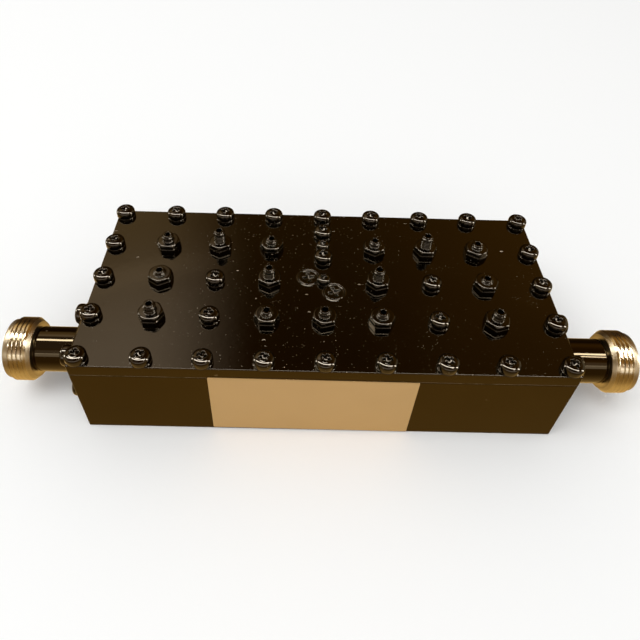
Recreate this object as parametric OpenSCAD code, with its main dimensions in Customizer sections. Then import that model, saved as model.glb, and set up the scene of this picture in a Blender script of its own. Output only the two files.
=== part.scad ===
// Coaxial-cavity bandpass filter: a machined housing with eight folded cavities under a screwed lid,
// a tuning screw over every resonator, a coupling screw over every iris and a coaxial socket at each end.
// Millimetres. The origin is the middle of the base, X runs from socket to socket and Z is up.

/* [Body] */
// Length of the body without its sockets
body_l = 116; // [110:1:140]
// Depth of the body from front to back
body_w = 53.4; // [51:0.5:64]
// Height of the housing below the lid
housing_h = 21.9; // [21:0.5:30]
// Thickness of the lid
lid_t = 3.5; // [3:0.25:5]
// Thickness of the outer walls
wall_t = 4; // [3.8:0.1:4.4]
// Thickness of the floor under the cavities
floor_t = 3.5; // [3:0.25:5]
// Thickness of the inner walls between cavities
rib_t = 4; // [3.6:0.1:5]
// Cutter radius in the corners of the cavities
cavity_r = 2.5; // [1.5:0.25:3.5]
// Small chamfer along the outside edges
edge_break = 0.2; // [0.1:0.05:0.5]

/* [Cavity layout] */
// Distance between neighbouring columns of screws, half the distance between cavities
col_pitch = 13.85; // [13.4:0.05:14.5]
// Distance of the cavity rows from the middle
row_pitch = 12.25; // [11.8:0.05:13]
// Distance of the rim screws from the edge of the lid
rim_inset = 2; // [1.9:0.05:2.3]
// Width of the openings between coupled cavities
iris_w = 11; // [9:0.5:12]
// Height of the sill left under each of these openings
iris_sill = 2; // [0.5:0.5:4]
// Radius of the post where the middle walls cross
post_r = 6.5; // [6.2:0.1:7]

/* [Resonators] */
// Radius of a resonator post
resonator_r = 4; // [3.6:0.1:4.5]
// Gap between the top of a resonator and the lid
resonator_gap = 3.9; // [3:0.1:5]
// Depth of the bore in the top of a resonator
resonator_bore_d = 5; // [4.5:0.25:5.5]
// Radius of that bore, which takes the head of the fixing screw
resonator_bore_r = 2.9; // [2.8:0.05:3.1]
// Radius of the fixing screw's head
fixing_head_r = 2.7; // [2.5:0.05:2.75]
// Height of the fixing screw's head
fixing_head_h = 2.6; // [2:0.1:3]
// Width of the fixing screw's hexagon socket across its flats
fixing_key_af = 2.5; // [2:0.5:3]
// Thickness of the floor left under the fixing screw
fixing_floor = 1.2; // [0.8:0.1:1.6]
// Chamfer round the top of a resonator
resonator_chamfer = 0.3; // [0.1:0.05:0.5]

/* [Tuning and coupling screws] */
// Radius of the tuning and coupling screws
tuner_r = 1.5; // [1.4:0.05:1.6]
// Length of a tuning or coupling screw
tuner_len = 12; // [11:0.25:12.25]
// Radius of the rim round the hexagon socket at the top of such a screw
tuner_rim_r = 1.15; // [1.05:0.05:1.25]
// Length of the taper from the full screw up to that rim
tuner_taper = 0.5; // [0.3:0.1:0.8]
// Width of a locking nut across its flats
nut_af = 5.6; // [5.2:0.1:6]
// Height of a locking nut
nut_h = 2.4; // [2:0.1:3]
// Radius of the rounded edge round a locking nut's top
nut_round = 1; // [0.6:0.1:1.2]
// Width of the hexagon socket across its flats
socket_af = 1.5; // [1.3:0.1:1.7]
// Depth of the hexagon socket
socket_d = 1.6; // [1:0.1:2.5]

/* [Lid screws] */
// Radius of a lid screw's shank
lid_screw_r = 1.25; // [1.15:0.05:1.35]
// Length of a lid screw's thread inside the housing
lid_screw_grip = 4.5; // [3:0.1:4.8]
// Radius of a lid screw's head
lid_head_r = 2.5; // [2.3:0.05:2.6]
// Height of a lid screw's head
lid_head_h = 2.6; // [2.2:0.1:2.8]
// Radius of a small screw's shank
small_screw_r = 1; // [0.9:0.05:1.05]
// Length of a small screw's thread below the lid
small_screw_grip = 2.5; // [1.5:0.1:3]
// Radius of a small screw's head
small_head_r = 1.8; // [1.6:0.05:1.85]
// Height of a small screw's head
small_head_h = 1.8; // [1.4:0.1:2]
// Radius of a countersunk screw's head
csk_head_r = 2.75; // [2.6:0.05:2.8]
// Radius of a countersunk screw's shank
csk_screw_r = 1.5; // [1.3:0.05:1.6]
// Length of a countersunk screw's thread inside the housing
csk_screw_grip = 5; // [3:0.5:8]

// Distance of the small screw in the middle post behind the middle
post_screw_y = 0.55; // [0.3:0.05:0.8]
// Place of the left countersunk screw
csk_left = [-3.85, 1.85]; // [-4:0.05:4]
// Place of the right countersunk screw
csk_right = [2.65, -3]; // [-4:0.05:4]

/* [Cross coupling] */
// Distance of the coupling rod from the middle
probe_y = 13.1; // [12.8:0.05:13.4]
// Width of the notch in the middle wall that holds its insulator
notch_w = 5; // [4.4:0.1:5.2]
// Depth of that notch below the lid
notch_d = 8; // [7:0.25:9]
// Distance from the rod to the lid screw behind it
inner_screw_behind = 5.2; // [4.9:0.1:5.8]
// Distance from the rod to the lid screw in front of it
inner_screw_ahead = 4.5; // [4.5:0.1:4.9]
// Radius of the coupling rod
probe_r = 0.75; // [0.6:0.05:0.9]
// Depth of the rod's axis below the lid
probe_drop = 5.6; // [5.2:0.1:6]
// Radius of the disc on each end of the rod
disc_r = 2.5; // [2:0.1:3]
// Thickness of the disc
disc_t = 1; // [0.6:0.1:1.4]
// Gap between the disc and the resonator beside it
disc_gap = 1.5; // [1:0.1:2]

/* [Sockets] */
// Height of the sockets' axis above the base
socket_z = 11.8; // [11.2:0.1:12]
// Width of the square flange
flange_w = 17.5; // [17:0.1:18.5]
// Thickness of the flange
flange_t = 2.5; // [2:0.1:3]
// Corner radius of the flange
flange_corner_r = 1.2; // [0.6:0.1:2]
// Distance between the flange screws
flange_pitch = 12.7; // [12.4:0.1:12.8]
// Radius of a flange screw's shank
flange_screw_r = 1.5; // [1.4:0.05:1.6]
// Length of a flange screw's thread in the wall
flange_screw_grip = 3.4; // [2.5:0.1:3.6]
// Radius of a flange screw's head
flange_head_r = 2.7; // [2.5:0.05:2.8]
// Height of a flange screw's head
flange_head_h = 2.4; // [2:0.1:2.6]
// Distance from the wall to the free end of the socket
shell_len = 20.1; // [19:0.05:21]
// Radius of the plain barrel
barrel_r = 5.65; // [5.3:0.05:6]
// Radius over the threads of the ring
thread_r = 7.94; // [7.8:0.01:8]
// Length of the threaded ring with its lead
ring_len = 5.4; // [5:0.1:6]
// Chamfer at the rear of the ring
ring_chamfer = 0.4; // [0.2:0.05:0.6]
// Chamfer round the mouth
mouth_chamfer = 0.35; // [0.2:0.05:0.5]
// Length of the smaller lead at the free end
lead_len = 1.2; // [0.8:0.1:1.6]
// Radius of that lead
lead_r = 7.35; // [7:0.05:7.5]
// Radius of the mouth that takes the plug
mouth_r = 4.3; // [4.2:0.05:4.5]
// Depth of the mouth, down to the tip of the centre contact
mouth_d = 5; // [4.8:0.1:5.2]
// Radius of the seat for the plug's outer contact
seat_r = 4.04; // [4:0.01:4.1]
// Depth of that seat from the free end
seat_d = 9.2; // [9:0.1:9.4]
// Radius of the line inside the barrel
line_r = 3.5; // [3.4:0.05:3.6]
// Length of the insulating bead inside the barrel
bead_len = 4; // [3:0.25:5]
// Distance from the seat down to the bead
bead_setback = 3; // [2:0.25:4]
// Radius of the pilot that passes through the wall
pilot_r = 3.95; // [3.8:0.05:4]
// Radius of the insulator in the pilot
tail_r = 2.3; // [2.1:0.05:2.5]
// Radius of the centre contact
contact_r = 1.52; // [1.45:0.01:1.6]
// Radius of the hole in the centre contact
contact_hole_r = 0.83; // [0.8:0.01:0.9]
// Depth of that hole
contact_hole_d = 4; // [3.5:0.25:5]
// Length of the slots between its four fingers
finger_len = 3.2; // [2:0.1:3.5]
// Width of these slots
finger_slot = 0.3; // [0.2:0.05:0.4]
// Radius of the contact's tail
contact_tail_r = 0.65; // [0.55:0.05:0.75]
// Radius of the tap rod between contact and resonator
tap_r = 1.1; // [1:0.05:1.2]
// Length of the contact's tail inside the tap rod
tail_grip = 2; // [1:0.25:3]
// Depth of the tap rod's seat in the side of the resonator
tap_seat = 1; // [0.6:0.1:1.4]
// Gap between the wall and the tap rod
tap_clear = 0.5; // [0.3:0.1:1]

/* [Mounting holes] */
// Depth of the threaded holes in the base
mount_d = 6; // [4:0.5:7]
// Radius of these holes
mount_r = 1.25; // [1.1:0.05:1.35]
// Distance between the two rows of holes
mount_pitch_y = 40; // [38:0.5:41]

/* [Label] */
// Left end of the label
label_x = -26.8; // [-40:0.1:-20]
// Width of the label
label_w = 48.4; // [30:0.1:60]
// Height of the label
label_h = 21.5; // [12:0.1:22]
// Height of the label's lower edge above the base
label_z = 0.75; // [0.5:0.05:1.5]
// Thickness of the label
label_t = 0.2; // [0.1:0.05:0.4]
// Slope of the label, which was put on by hand
label_tilt = 0.4; // [0:0.1:0.6]

/* [Hidden] */
$fn = 48;

// Clearance of a shank in its threaded or plain hole
gap = 0.05;
// Overrun of a cut past the face that it opens
over = 1;
// Extra depth of a blind hole below its screw
hole_spare = 0.6;
// Depth of the fixing holes below their screws
fixing_spare = 0.3;
// Chamfer at the tips of turned pieces
tip_chamfer = 0.3;

// Colours, as seen on the object and usual inside it
paint_col = [0.11, 0.09, 0.07];
plated_col = [0.78, 0.77, 0.74];
screw_col = [0.62, 0.62, 0.64];
brass_col = [0.78, 0.66, 0.42];
ptfe_col = [0.94, 0.94, 0.92];
label_col = [0.83, 0.76, 0.62];

// Places shared by the pieces
top_z = housing_h + lid_t;
rim_x = body_l / 2 - rim_inset;
rim_y = body_w / 2 - rim_inset;
last_col = 4;
outer_cell = 3;
resonator_h = housing_h - floor_t - resonator_gap;
fixing_z = floor_t + resonator_h - resonator_bore_d;
socket_y = -row_pitch;
bead_z = shell_len - seat_d - bead_len - bead_setback;
tap_start = wall_t + tap_clear;
tap_end = body_l / 2 - outer_cell * col_pitch - resonator_r + tap_seat;

function column_x(i) = abs(i) == last_col ? sign(i) * rim_x : i * col_pitch;

// Lid screws by group, each as [x, y]
back_places = [for (i = [-last_col : last_col]) [column_x(i), rim_y]];
front_places = [for (i = [-last_col : last_col]) [column_x(i), -rim_y]];
left_places = [for (j = [-1 : 1]) [-rim_x, j * row_pitch]];
right_places = [for (j = [-1 : 1]) [rim_x, j * row_pitch]];
inner_places = [
    for (s = [-1, 1], j = [-1, 0]) [s * 2 * col_pitch, j * row_pitch],
    [0, probe_y + inner_screw_behind],
    [0, probe_y - inner_screw_ahead]
];
lid_places = concat(back_places, front_places, left_places, right_places, inner_places);
small_places = [[0, probe_y], [0, post_screw_y]];
csk_places = [csk_left, csk_right];

// Resonators in the order in which the signal passes them, as [column, row]
resonator_cells = [[-3, -1], [-3, 1], [-1, 1], [-1, -1], [1, -1], [1, 1], [3, 1], [3, -1]];
tuner_rise = [2.4, 1.9, 1.4, 1.1, 1.3, 1.6, 1.3, 2.4];
tuner_turn = [0, 0, 0, 0, 0, 30, 30, 17];
// Openings between neighbouring cavities, in the same order
iris_cells = [[-3, 0], [-2, 1], [-1, 0], [0, -1], [1, 0], [2, 1], [3, 0]];
coupler_rise = [1.1, 3.8, 2.9, 1.8, 3.2, 3.7, 0.9];
coupler_turn = [27, 30, 30, 17, 17, 0, 0];

function cell_place(cell) = [cell[0] * col_pitch, cell[1] * row_pitch];

flange_places = [for (sx = [-1, 1], sy = [-1, 1]) [sx * flange_pitch / 2, sy * flange_pitch / 2]];
mount_places = [for (sx = [-1, 1], sy = [-1, 1]) [sx * 2 * col_pitch, sy * mount_pitch_y / 2]];

// Block whose outside edges are all broken by the same small chamfer
module broken_block(l, w, h, c) {
    intersection() {
        linear_extrude(h) chamfered_rect(l, w, c);
        translate([0, w / 2, h / 2]) rotate([90, 0, 0]) linear_extrude(w) chamfered_rect(l, h, c);
        translate([-l / 2, 0, h / 2]) rotate([90, 0, 90]) linear_extrude(l) chamfered_rect(w, h, c);
    }
}

module chamfered_rect(a, b, c) {
    polygon([
        [-a / 2 + c, -b / 2], [a / 2 - c, -b / 2], [a / 2, -b / 2 + c], [a / 2, b / 2 - c],
        [a / 2 - c, b / 2], [-a / 2 + c, b / 2], [-a / 2, b / 2 - c], [-a / 2, -b / 2 + c]
    ]);
}

module rounded_rect(a, b, r) {
    square([a - 2 * r, b], center = true);
    square([a, b - 2 * r], center = true);
    for (sx = [-1, 1], sy = [-1, 1])
        translate([sx * (a / 2 - r), sy * (b / 2 - r)]) circle(r);
}

// Head with a flat underside at z = 0, a short upright side and a rounded crown
module crowned_head(r, h) {
    side = 0.35 * h;
    flat = 0.1 * r;
    rotate_extrude() polygon(concat(
        [[0, 0], [r, 0]],
        [for (a = [0 : 15 : 90]) [flat + (r - flat) * cos(a), side + (h - side) * sin(a)]],
        [[0, h]]
    ));
}

// Cross recess, cut down from z = 0
module cross_recess(r, depth) {
    arm = 0.32 * r;
    for (a = [0, 90])
        rotate(a) translate([-r, -arm, -0.7 * depth]) cube([2 * r, 2 * arm, depth + over]);
    translate([0, 0, -depth]) cylinder(h = depth, r1 = 0.15 * r, r2 = 0.8 * r);
}

module crowned_screw(head_r, head_h, shank_r, shank_len, turn) {
    difference() {
        union() {
            crowned_head(head_r, head_h);
            translate([0, 0, -shank_len]) cylinder(h = shank_len + head_h / 4, r = shank_r);
        }
        translate([0, 0, head_h]) rotate(turn) cross_recess(0.52 * head_r, 0.55 * head_h);
    }
}

// Screws of one group seated on the lid, each turned its own way
module lid_screw_group(places) {
    shank_len = lid_t + lid_screw_grip;
    color(paint_col)
        for (i = [0 : len(places) - 1])
            translate([places[i][0], places[i][1], top_z])
                crowned_screw(lid_head_r, lid_head_h, lid_screw_r, shank_len, (37 * i) % 90);
}

module countersunk_screw() {
    depth = csk_head_r - csk_screw_r;
    difference() {
        union() {
            translate([0, 0, -depth]) cylinder(h = depth, r1 = csk_screw_r, r2 = csk_head_r);
            translate([0, 0, -lid_t - csk_screw_grip])
                cylinder(h = lid_t + csk_screw_grip - depth / 2, r = csk_screw_r);
        }
        cross_recess(0.55 * csk_head_r, 0.9 * depth);
    }
}

module tuning_element(rise) {
    translate([0, 0, top_z + nut_h + rise - tuner_len]) difference() {
        rotate_extrude() polygon([
            [0, 0], [tuner_r - tip_chamfer, 0], [tuner_r, tip_chamfer], [tuner_r, tuner_len - tuner_taper],
            [tuner_rim_r, tuner_len], [0, tuner_len]
        ]);
        translate([0, 0, tuner_len - socket_d])
            cylinder(h = socket_d + over, r = socket_af / sqrt(3), $fn = 6);
    }
}

// Hexagon nut, chamfered below and rounded above
module locking_nut(turn) {
    corner_r = nut_af / sqrt(3);
    face_r = 0.96 * nut_af / 2;
    slope = (corner_r - face_r) * tan(30);
    translate([0, 0, top_z]) rotate(turn) difference() {
        intersection() {
            cylinder(h = nut_h, r = corner_r, $fn = 6);
            rotate_extrude() polygon(concat(
                [[0, 0], [face_r, 0], [corner_r, slope]],
                [for (a = [0 : 15 : 90])
                    [corner_r - nut_round * (1 - cos(a)), nut_h - nut_round * (1 - sin(a))]],
                [[0, nut_h]]
            ));
        }
        translate([0, 0, -over]) cylinder(h = nut_h + 2 * over, r = tuner_r + gap);
    }
}

module cavity(i, j) {
    x0 = abs(i) == 1 ? rib_t / 2 : 2 * col_pitch + rib_t / 2;
    x1 = abs(i) == 1 ? 2 * col_pitch - rib_t / 2 : body_l / 2 - wall_t;
    y0 = rib_t / 2;
    y1 = body_w / 2 - wall_t;
    translate([sign(i) * (x0 + x1) / 2, j * (y0 + y1) / 2, floor_t])
        linear_extrude(housing_h) rounded_rect(x1 - x0, y1 - y0, cavity_r);
}

// Opening in the wall between two coupled cavities
module iris(cell) {
    long = rib_t + 2 * cavity_r;
    along_x = cell[1] != 0;
    size = along_x ? [long, iris_w] : [iris_w, long];
    translate([cell_place(cell)[0], cell_place(cell)[1], floor_t + iris_sill])
        linear_extrude(housing_h) square(size, center = true);
}

module housing() {
    color(paint_col) difference() {
        broken_block(body_l, body_w, housing_h, edge_break);
        difference() {
            union() {
                for (cell = resonator_cells) cavity(cell[0], cell[1]);
                for (cell = iris_cells) iris(cell);
            }
            cylinder(h = housing_h, r = post_r);
        }
        // Notch for the insulator of the coupling rod
        translate([-rib_t, probe_y - notch_w / 2, housing_h - notch_d])
            cube([2 * rib_t, notch_w, notch_d + over]);
        // Threaded holes for the lid screws
        for (p = lid_places)
            translate([p[0], p[1], housing_h - lid_screw_grip - hole_spare])
                cylinder(h = lid_screw_grip + hole_spare + over, r = lid_screw_r + gap);
        for (p = csk_places)
            translate([p[0], p[1], housing_h - csk_screw_grip - hole_spare])
                cylinder(h = csk_screw_grip + hole_spare + over, r = csk_screw_r + gap);
        translate([small_places[1][0], small_places[1][1], housing_h - small_screw_grip - hole_spare])
            cylinder(h = small_screw_grip + hole_spare + over, r = small_screw_r + gap);
        // Threaded holes for the resonators' fixing screws
        for (cell = resonator_cells)
            translate([cell_place(cell)[0], cell_place(cell)[1], fixing_floor - fixing_spare])
                cylinder(h = floor_t + over, r = tuner_r + gap);
        // Socket bores and the threaded holes around them
        for (s = [-1, 1]) socket_frame(s) {
            translate([0, 0, -wall_t - over]) cylinder(h = wall_t + 2 * over, r = pilot_r + gap);
            for (p = flange_places)
                translate([p[0], p[1], -wall_t - over])
                    cylinder(h = wall_t + 2 * over, r = flange_screw_r + gap);
        }
        for (p = mount_places)
            translate([p[0], p[1], -over]) cylinder(h = mount_d + over, r = mount_r);
    }
}

module lid() {
    color(paint_col) difference() {
        translate([0, 0, housing_h]) broken_block(body_l, body_w, lid_t, edge_break);
        for (p = lid_places) lid_hole(p, lid_screw_r + 3 * gap);
        for (p = small_places) lid_hole(p, small_screw_r + gap);
        for (cell = concat(resonator_cells, iris_cells)) lid_hole(cell_place(cell), tuner_r + gap);
        for (p = csk_places) {
            lid_hole(p, csk_screw_r + gap);
            depth = csk_head_r - csk_screw_r;
            translate([p[0], p[1], top_z - depth - gap])
                cylinder(h = depth + gap, r1 = csk_screw_r, r2 = csk_head_r + gap);
        }
    }
}

module lid_hole(place, r) {
    translate([place[0], place[1], housing_h - over]) cylinder(h = lid_t + 2 * over, r = r);
}

module resonator(n) {
    place = cell_place(resonator_cells[n - 1]);
    color(plated_col) difference() {
        translate([place[0], place[1], floor_t]) rotate_extrude() polygon([
            [0, 0], [resonator_r, 0], [resonator_r, resonator_h - resonator_chamfer],
            [resonator_r - resonator_chamfer, resonator_h],
            [0, resonator_h]
        ]);
        translate([place[0], place[1], fixing_z]) cylinder(h = resonator_bore_d + over, r = resonator_bore_r);
        translate([place[0], place[1], floor_t - over]) cylinder(h = housing_h, r = tuner_r + 2 * gap);
        // Hole in the side of the first and the last resonator for the tap rod
        if (n == 1 || n == len(resonator_cells))
            socket_frame(n == 1 ? -1 : 1)
                translate([0, 0, -tap_end - gap]) cylinder(h = tap_end, r = tap_r + gap);
    }
}

module resonator_screws() {
    color(screw_col)
        for (cell = resonator_cells)
            translate([cell_place(cell)[0], cell_place(cell)[1], 0]) difference() {
                union() {
                    translate([0, 0, fixing_z]) cylinder(h = fixing_head_h, r = fixing_head_r);
                    translate([0, 0, fixing_floor])
                        cylinder(h = fixing_z - fixing_floor + fixing_head_h / 4, r = tuner_r);
                }
                translate([0, 0, fixing_z + 0.4 * fixing_head_h])
                    cylinder(h = fixing_head_h, r = fixing_key_af / sqrt(3), $fn = 6);
            }
}

module tuning_screw(n) {
    place = cell_place(resonator_cells[n - 1]);
    color(paint_col) translate([place[0], place[1], 0]) tuning_element(tuner_rise[n - 1]);
}

module coupling_screw(n) {
    place = cell_place(iris_cells[n - 1]);
    color(paint_col) translate([place[0], place[1], 0]) tuning_element(coupler_rise[n - 1]);
}

module nut_group(cells, turns) {
    color(paint_col)
        for (i = [0 : len(cells) - 1])
            translate([cell_place(cells[i])[0], cell_place(cells[i])[1], 0]) locking_nut(turns[i]);
}

// Rod that couples the third resonator to the sixth through the middle wall
module coupling_rod() {
    reach = col_pitch - resonator_r - disc_gap;
    color(brass_col) translate([0, probe_y, housing_h - probe_drop]) rotate([0, 90, 0]) union() {
        translate([0, 0, -reach]) cylinder(h = 2 * reach, r = probe_r);
        for (s = [-1, 1])
            translate([0, 0, s * (reach - disc_t / 2) - disc_t / 2]) cylinder(h = disc_t, r = disc_r);
    }
}

module rod_insulator() {
    w = notch_w - 2 * gap;
    color(ptfe_col) difference() {
        translate([-rib_t / 2, probe_y - w / 2, housing_h - notch_d]) cube([rib_t, w, notch_d]);
        translate([0, probe_y, housing_h - probe_drop]) rotate([0, 90, 0])
            cylinder(h = 2 * rib_t, r = probe_r + gap, center = true);
        translate([0, probe_y, housing_h - small_screw_grip - gap])
            cylinder(h = small_screw_grip + over, r = small_screw_r + gap);
    }
}

// Frame of a socket: z runs outwards from the wall along the socket's axis; side is -1 or 1
module socket_frame(side) {
    translate([side * body_l / 2, socket_y, socket_z]) rotate([0, side * 90, 0]) children();
}

module socket_shell(side) {
    ring_z = shell_len - ring_len;
    color(plated_col) socket_frame(side) difference() {
        union() {
            linear_extrude(flange_t) rounded_rect(flange_w, flange_w, flange_corner_r);
            translate([0, 0, -wall_t]) cylinder(h = wall_t + flange_t / 2, r = pilot_r);
            rotate_extrude() polygon([
                [0, flange_t / 2], [barrel_r, flange_t / 2], [barrel_r, ring_z],
                [thread_r - ring_chamfer, ring_z], [thread_r, ring_z + ring_chamfer],
                [thread_r, shell_len - lead_len], [lead_r, shell_len - lead_len],
                [lead_r, shell_len - tip_chamfer], [lead_r - tip_chamfer, shell_len], [0, shell_len]
            ]);
        }
        rotate_extrude() polygon([
            [0, -wall_t - over], [tail_r + gap, -wall_t - over], [tail_r + gap, bead_z], [line_r, bead_z],
            [line_r, shell_len - seat_d], [seat_r, shell_len - seat_d], [seat_r, shell_len - mouth_d],
            [mouth_r, shell_len - mouth_d], [mouth_r, shell_len - mouth_chamfer],
            [mouth_r + mouth_chamfer, shell_len], [mouth_r + mouth_chamfer, shell_len + over],
            [0, shell_len + over]
        ]);
        for (p = flange_places)
            translate([p[0], p[1], -over]) cylinder(h = flange_t + 2 * over, r = flange_screw_r + 2 * gap);
    }
}

module socket_insulator(side) {
    color(ptfe_col) socket_frame(side) rotate_extrude() polygon([
        [contact_tail_r + gap, -wall_t], [tail_r, -wall_t], [tail_r, bead_z], [line_r - gap, bead_z],
        [line_r - gap, bead_z + bead_len], [contact_tail_r + gap, bead_z + bead_len]
    ]);
}

// Centre contact with four spring fingers at its tip
module socket_contact(side) {
    tip_z = shell_len - mouth_d;
    base_z = bead_z + bead_len;
    color(brass_col) socket_frame(side) difference() {
        rotate_extrude() polygon([
            [0, -tap_start - tail_grip], [contact_tail_r, -tap_start - tail_grip], [contact_tail_r, base_z],
            [contact_r, base_z], [contact_r, tip_z - tip_chamfer], [contact_r - tip_chamfer, tip_z],
            [0, tip_z]
        ]);
        translate([0, 0, tip_z - contact_hole_d]) cylinder(h = contact_hole_d + over, r = contact_hole_r);
        for (a = [0, 90])
            rotate(a) translate([-contact_r - over, -finger_slot / 2, tip_z - finger_len])
                cube([2 * contact_r + 2 * over, finger_slot, finger_len + over]);
    }
}

// Rod between the contact's tail and the resonator, seated in both
module tap_rod(side) {
    color(brass_col) socket_frame(side) difference() {
        translate([0, 0, -tap_end]) cylinder(h = tap_end - tap_start, r = tap_r);
        translate([0, 0, -tap_start - tail_grip - gap])
            cylinder(h = tail_grip + gap + over, r = contact_tail_r + gap);
    }
}

module flange_screws(side) {
    shank_len = flange_t + flange_screw_grip;
    color(paint_col) socket_frame(side)
        for (i = [0 : len(flange_places) - 1])
            translate([flange_places[i][0], flange_places[i][1], flange_t])
                crowned_screw(flange_head_r, flange_head_h, flange_screw_r, shank_len, 29 * i);
}

module small_screws() {
    shank_len = lid_t + small_screw_grip;
    color(paint_col)
        for (i = [0 : len(small_places) - 1])
            translate([small_places[i][0], small_places[i][1], top_z])
                crowned_screw(small_head_r, small_head_h, small_screw_r, shank_len, 20 + 50 * i);
}

module countersunk_screws() {
    color(paint_col)
        for (i = [0 : len(csk_places) - 1])
            translate([csk_places[i][0], csk_places[i][1], top_z - gap])
                rotate(12 + 10 * i) countersunk_screw();
}

module label() {
    color(label_col) translate([label_x, -body_w / 2, label_z]) rotate([0, label_tilt, 0])
        translate([0, -label_t, 0]) cube([label_w, label_t, label_h]);
}

housing();
lid();
resonator(1);  // resonator_1
resonator(2);  // resonator_2
resonator(3);  // resonator_3
resonator(4);  // resonator_4
resonator(5);  // resonator_5
resonator(6);  // resonator_6
resonator(7);  // resonator_7
resonator(8);  // resonator_8
resonator_screws();
tuning_screw(1);  // tuning_screw_1
tuning_screw(2);  // tuning_screw_2
tuning_screw(3);  // tuning_screw_3
tuning_screw(4);  // tuning_screw_4
tuning_screw(5);  // tuning_screw_5
tuning_screw(6);  // tuning_screw_6
tuning_screw(7);  // tuning_screw_7
tuning_screw(8);  // tuning_screw_8
nut_group(resonator_cells, tuner_turn);  // tuning_nuts
coupling_screw(1);  // coupling_screw_1
coupling_screw(2);  // coupling_screw_2
coupling_screw(3);  // coupling_screw_3
coupling_screw(4);  // coupling_screw_4
coupling_screw(5);  // coupling_screw_5
coupling_screw(6);  // coupling_screw_6
coupling_screw(7);  // coupling_screw_7
nut_group(iris_cells, coupler_turn);  // coupling_nuts
coupling_rod();
rod_insulator();
socket_shell(-1);  // left_socket_shell
socket_insulator(-1);  // left_socket_insulator
socket_contact(-1);  // left_socket_contact
tap_rod(-1);  // left_tap_rod
flange_screws(-1);  // left_flange_screws
socket_shell(1);  // right_socket_shell
socket_insulator(1);  // right_socket_insulator
socket_contact(1);  // right_socket_contact
tap_rod(1);  // right_tap_rod
flange_screws(1);  // right_flange_screws
lid_screw_group(back_places);  // lid_screws_back
lid_screw_group(front_places);  // lid_screws_front
lid_screw_group(left_places);  // lid_screws_left
lid_screw_group(right_places);  // lid_screws_right
lid_screw_group(inner_places);  // lid_screws_inner
small_screws();
countersunk_screws();
label();
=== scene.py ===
"""Dressed scene of a coaxial cavity bandpass filter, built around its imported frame.

Metres, in the frame's own axes: X runs from socket to socket, Z is up and the origin is the middle
of the base.
"""

import logging
import math
from dataclasses import dataclass, replace
from enum import Enum
from typing import Any, Sequence

import bmesh
import bpy
import numpy as np
from mathutils import Matrix, Vector


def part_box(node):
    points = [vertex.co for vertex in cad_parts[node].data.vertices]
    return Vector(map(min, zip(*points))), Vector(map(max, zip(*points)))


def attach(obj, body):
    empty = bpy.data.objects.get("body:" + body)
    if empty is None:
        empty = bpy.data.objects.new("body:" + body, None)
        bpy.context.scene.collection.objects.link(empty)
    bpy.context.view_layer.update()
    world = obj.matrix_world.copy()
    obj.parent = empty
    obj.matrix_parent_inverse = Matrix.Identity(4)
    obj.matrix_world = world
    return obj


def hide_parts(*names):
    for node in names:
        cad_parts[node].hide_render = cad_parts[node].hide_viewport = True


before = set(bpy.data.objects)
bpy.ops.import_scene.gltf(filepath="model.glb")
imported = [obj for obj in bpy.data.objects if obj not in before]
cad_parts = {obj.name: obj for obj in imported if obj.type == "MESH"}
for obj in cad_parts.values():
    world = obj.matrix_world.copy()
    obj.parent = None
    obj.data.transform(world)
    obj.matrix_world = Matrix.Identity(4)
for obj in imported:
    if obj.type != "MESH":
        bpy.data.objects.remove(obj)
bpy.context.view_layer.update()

LOG = logging.getLogger("filter")
MM = 0.001
TAU = 2 * math.pi

Colour = tuple[float, float, float]
Pair = tuple[float, float]
Cells = tuple[tuple[int, int], ...]
Ring = tuple[Any, Any]


class Side(Enum):
    """End of the body that carries a socket."""

    LEFT = -1
    RIGHT = 1

    @property
    def word(self) -> str:
        """Name of this end, as the frame's nodes use it."""
        return self.name.lower()


class Sock:
    """Output of a node that takes part in Python expressions, each operator adding its Math node."""

    def __init__(self, net: "Net", socket: bpy.types.NodeSocket) -> None:
        """Keep the socket and the net that it belongs to."""
        self.net = net
        self.socket = socket

    def math(self, operation: str, *others: Any) -> "Sock":
        """Result of a Math node on this output and up to two others, or numbers."""
        return self.net.add("ShaderNodeMath", {"operation": operation}, dict(enumerate((self, *others))))

    def __add__(self, other: Any) -> "Sock":
        """Sum."""
        return self.math("ADD", other)

    def __mul__(self, other: Any) -> "Sock":
        """Product."""
        return self.math("MULTIPLY", other)

    def __sub__(self, other: Any) -> "Sock":
        """Difference."""
        return self.math("SUBTRACT", other)

    def __rsub__(self, other: float) -> "Sock":
        """Difference from a number."""
        return self.net.add("ShaderNodeMath", {"operation": "SUBTRACT"}, {0: other, 1: self})

    def __truediv__(self, other: Any) -> "Sock":
        """Quotient."""
        return self.math("DIVIDE", other)

    def __pow__(self, other: Any) -> "Sock":
        """Power."""
        return self.math("POWER", other)

    __radd__ = __add__
    __rmul__ = __mul__

    def most(self, other: Any) -> "Sock":
        """The larger of two values."""
        return self.math("MAXIMUM", other)

    def least(self, other: Any) -> "Sock":
        """The smaller of two values."""
        return self.math("MINIMUM", other)

    def off(self, middle: float = 0.0) -> "Sock":
        """Distance from a value."""
        return (self - middle).math("ABSOLUTE")

    def step(self, low: float, high: float, start: float = 0.0, end: float = 1.0) -> "Sock":
        """Smooth step from start to end, as this value goes from low to high."""
        inputs = {"Value": self, "From Min": low, "From Max": high, "To Min": start, "To Max": end}
        return self.net.add("ShaderNodeMapRange", {"interpolation_type": "SMOOTHSTEP"}, inputs)

    def fall(self, low: float, high: float) -> "Sock":
        """Smooth step from 1 down to 0."""
        return self.step(low, high, 1.0, 0.0)

    def band(self, rise: Pair, fall: Pair) -> "Sock":
        """1 between a smooth step up and one down, and 0 outside them."""
        return self.step(*rise) * self.fall(*fall)

    def twin(self, output: int) -> "Sock":
        """Another output of the same node, by its number."""
        return Sock(self.net, self.socket.node.outputs[output])


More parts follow.
